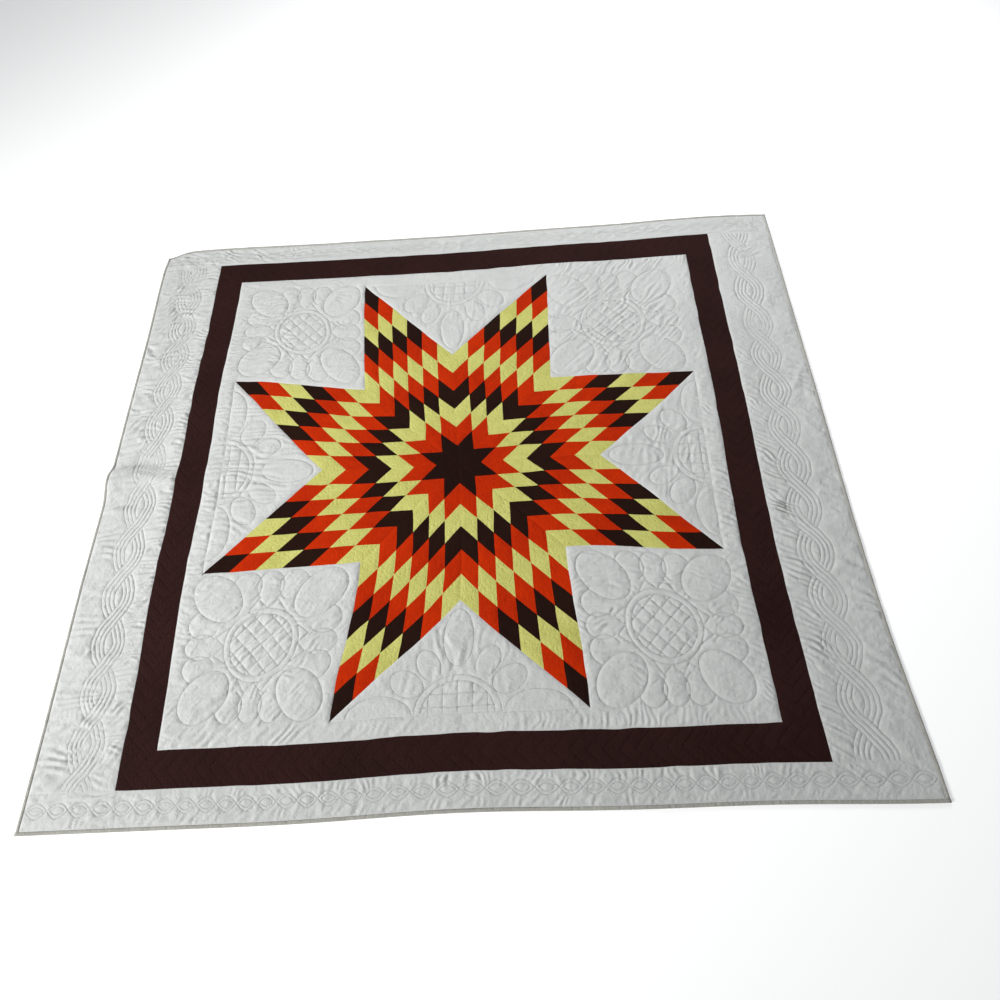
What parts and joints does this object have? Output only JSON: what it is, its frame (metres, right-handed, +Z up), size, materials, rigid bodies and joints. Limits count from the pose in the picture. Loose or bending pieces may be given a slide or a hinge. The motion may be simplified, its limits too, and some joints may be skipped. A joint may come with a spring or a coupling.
{
  "type": "star quilt laid out flat",
  "caption": "Large rectangular pieced quilt with a large pointed star, plain banded borders and raised hand quilting, lying flat and face up.",
  "frame": {"origin": "on the floor under the middle of the laid quilt", "axes": "+X along the quilt's longer side, +Y away from its near edge, +Z up out of its face"},
  "size_m": [2.2368, 1.9744, 0.0214],
  "materials": {
    "star_cloth": "matte plain-weave cotton, pieced in brown, orange red and yellow",
    "white_cloth": "matte plain-weave white cotton, hand quilted",
    "brown_cloth": "matte dark brown cotton",
    "binding_cloth": "matte cream cotton, folded and stitched down"
  },
  "bodies": {
    "root": {"star_point_1": "star_cloth", "star_point_2": "star_cloth", "star_point_3": "star_cloth", "star_point_4": "star_cloth", "star_point_5": "star_cloth", "star_point_6": "star_cloth", "star_point_7": "star_cloth", "star_point_8": "star_cloth", "corner_square_1": "white_cloth", "corner_square_2": "white_cloth", "corner_square_3": "white_cloth", "corner_square_4": "white_cloth", "side_triangle_1": "white_cloth", "side_triangle_2": "white_cloth", "side_triangle_3": "white_cloth", "side_triangle_4": "white_cloth", "white_strip_left": "white_cloth", "white_strip_right": "white_cloth", "white_strip_near": "white_cloth", "white_strip_far": "white_cloth", "brown_band_left": "brown_cloth", "brown_band_right": "brown_cloth", "brown_band_near": "brown_cloth", "brown_band_far": "brown_cloth", "outer_border_left": "white_cloth", "outer_border_right": "white_cloth", "outer_border_near": "white_cloth", "outer_border_far": "white_cloth", "binding_left": "binding_cloth", "binding_right": "binding_cloth", "binding_near": "binding_cloth", "binding_far": "binding_cloth"}
  },
  "joints": []
}
